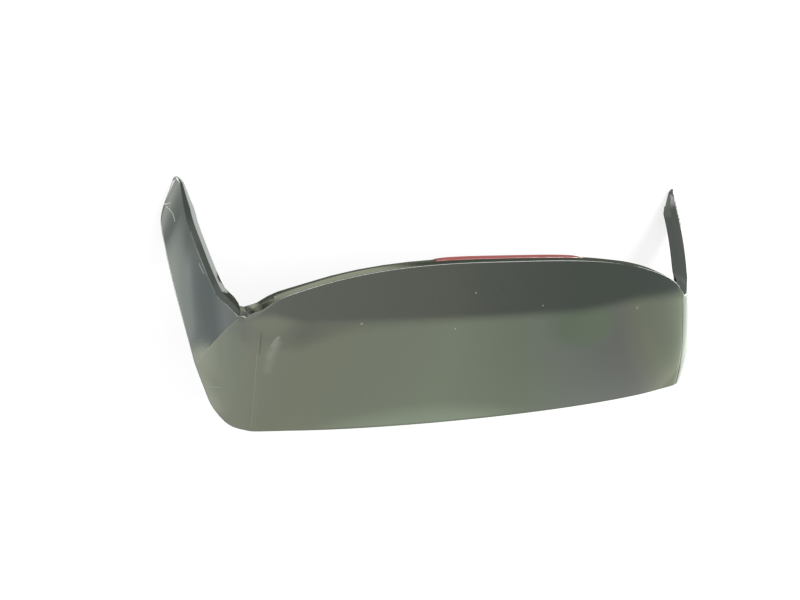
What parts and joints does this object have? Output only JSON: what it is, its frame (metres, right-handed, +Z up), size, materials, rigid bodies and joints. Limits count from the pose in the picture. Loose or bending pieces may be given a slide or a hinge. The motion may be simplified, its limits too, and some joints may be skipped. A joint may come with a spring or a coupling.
{
  "type": "car rear spoiler",
  "caption": "Gloss black tailgate spoiler with a crowned blade, side winglets and a red high brake lamp in its trailing edge.",
  "frame": {"origin": "Middle of the four-stud mounting pattern, at the height of the stud seats", "axes": "X across the car, Y rearwards, Z up as mounted on the closed tailgate"},
  "size_m": [1.2478, 0.4219, 0.3267],
  "materials": {
    "gloss_paint": "gloss black paint on moulded plastic",
    "black_plastic": "fine-grained black moulding",
    "adhesive": "cured black adhesive",
    "red_lens": "red transparent plastic",
    "board": "green circuit board",
    "led": "light source package",
    "clear_plastic": "clear moulding",
    "foam": "black closed-cell foam rubber",
    "brass": "plain",
    "steel": "zinc plated",
    "clip_plastic": "natural white moulding"
  },
  "bodies": {
    "root": {"outer_skin": "gloss_paint", "lower_shell": "black_plastic", "left_winglet_liner": "black_plastic", "right_winglet_liner": "black_plastic", "front_bond_bead": "adhesive", "lamp_lens": "red_lens", "lamp_housing": "black_plastic", "lamp_board": "board", "lamp_leds": "led", "lamp_light_guide": "clear_plastic", "lamp_gasket": "foam", "lamp_terminals": "brass", "lamp_screws": "steel", "mounting_studs": "steel", "stud_seals": "foam", "front_seal": "foam", "left_edge_seal": "foam", "right_edge_seal": "foam", "left_clips": "clip_plastic", "right_clips": "clip_plastic", "rubber_buffers": "foam"}
  },
  "joints": []
}
